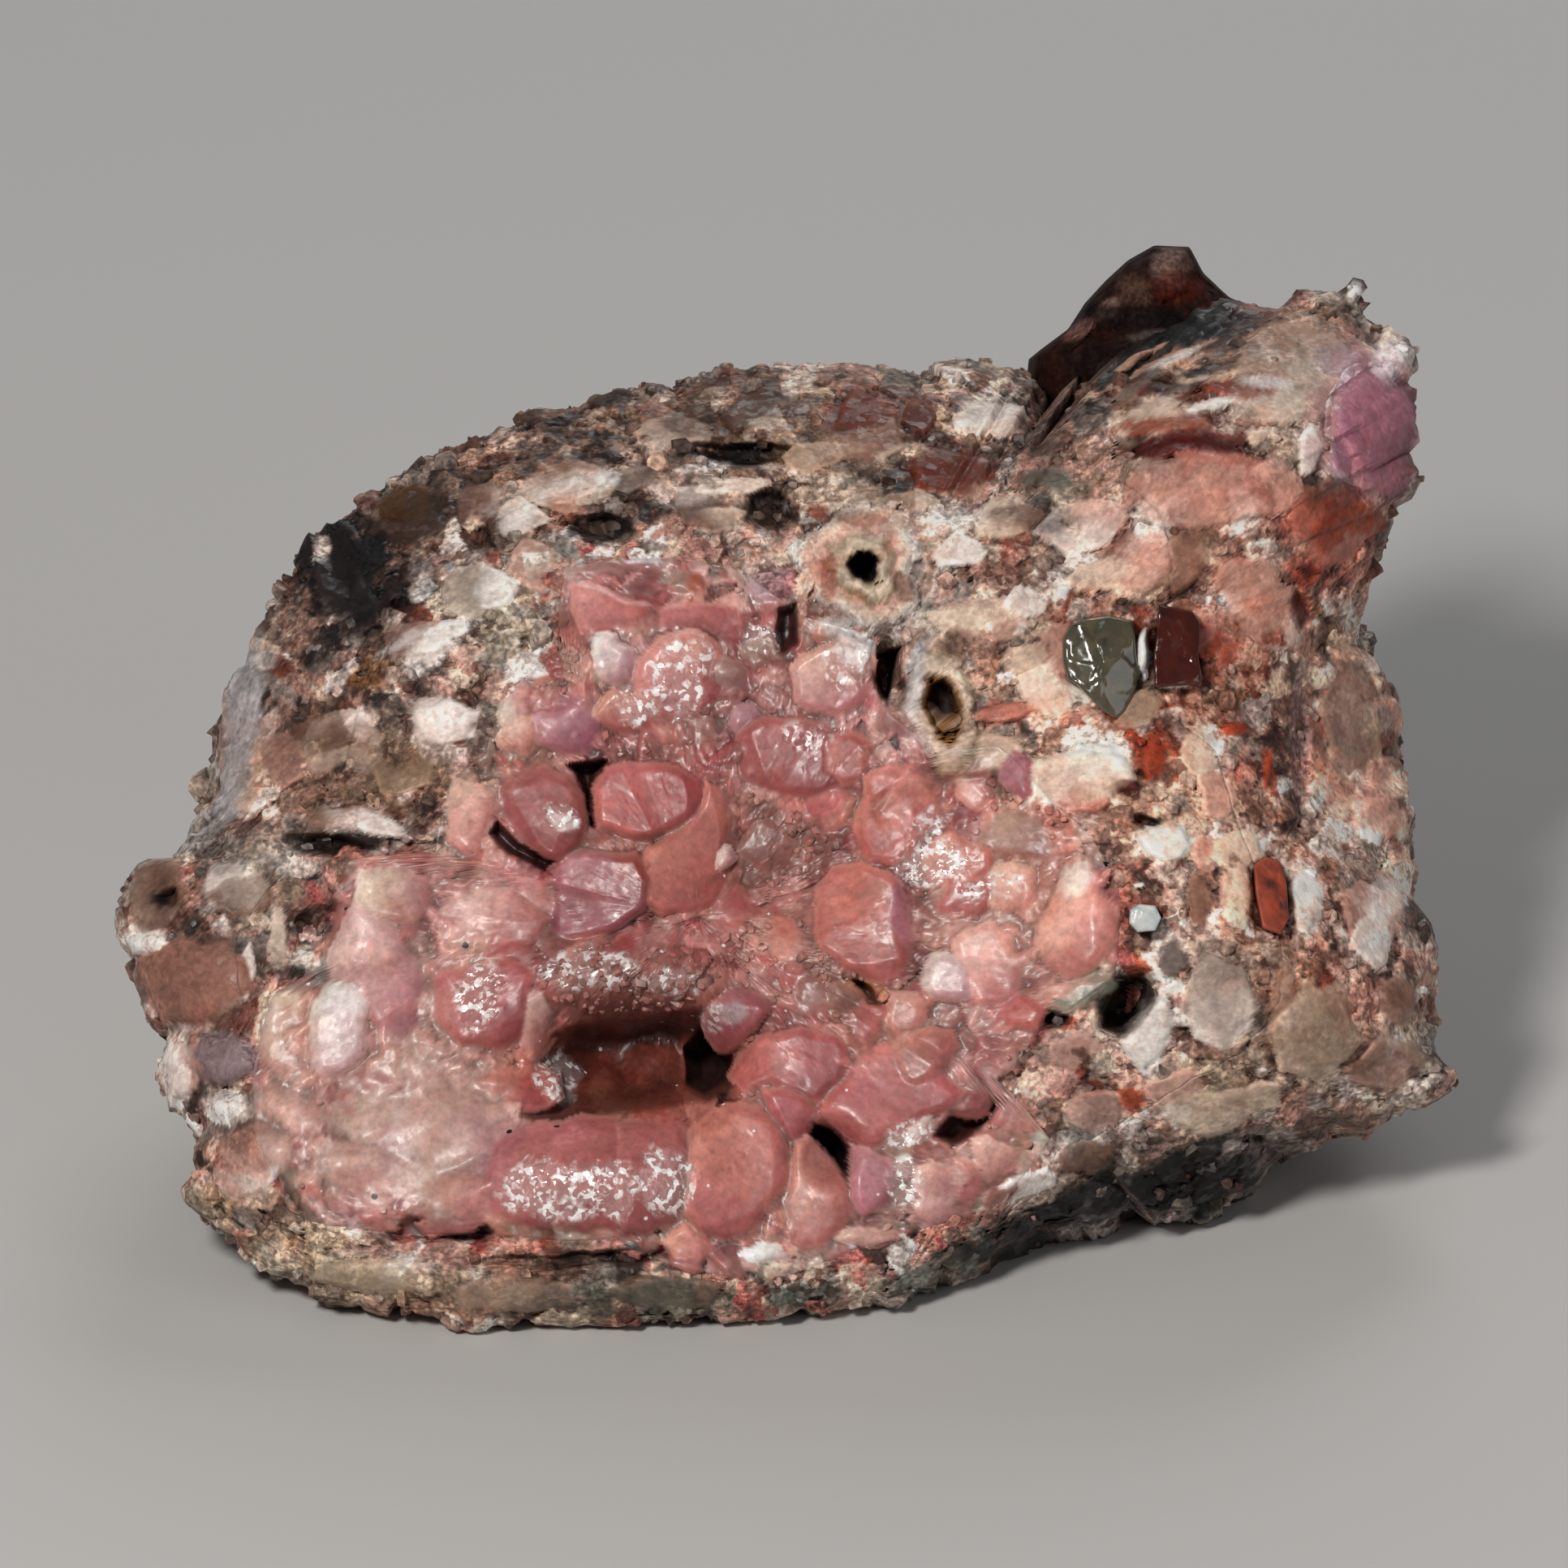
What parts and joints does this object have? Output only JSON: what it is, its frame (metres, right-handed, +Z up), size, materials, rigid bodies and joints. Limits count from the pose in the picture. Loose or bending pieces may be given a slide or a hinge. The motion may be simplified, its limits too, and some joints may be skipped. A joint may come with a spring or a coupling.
{
  "type": "cobaltoan calcite mineral specimen",
  "caption": "Loose granular rock with a leaning face, whose shallow hollow is lined with blunt rose calcite crystals, and a lilac crystal cluster on its upper edge.",
  "frame": {"origin": "a point on the flat underside, 20 mm behind the front foot of the specimen and midway between its left and right ends", "axes": "+X to the right along the specimen's length, +Y away from the viewer, +Z up"},
  "size_m": [0.0688, 0.0563, 0.0417],
  "materials": {
    "matrix": "matte granular rock with glinting grains",
    "rose_calcite": "translucent rose crystal with a satin gloss",
    "lilac_calcite": "translucent lilac crystal with a satin gloss",
    "smoky_calcite": "clear smoky grey-green crystal",
    "red_brown_calcite": "glossy dark red-brown crystal",
    "brick_red_calcite": "dull brick-red crystal",
    "pale_calcite": "pale blue-white crystal with a dull gloss"
  },
  "bodies": {
    "root": {"matrix_rock": "matrix", "rose_crystal_crust": "rose_calcite", "lilac_crystal_cluster": "lilac_calcite", "smoky_crystal": "smoky_calcite", "red_brown_crystal": "red_brown_calcite", "brick_red_crystal": "brick_red_calcite", "pale_blue_crystal": "pale_calcite"}
  },
  "joints": []
}
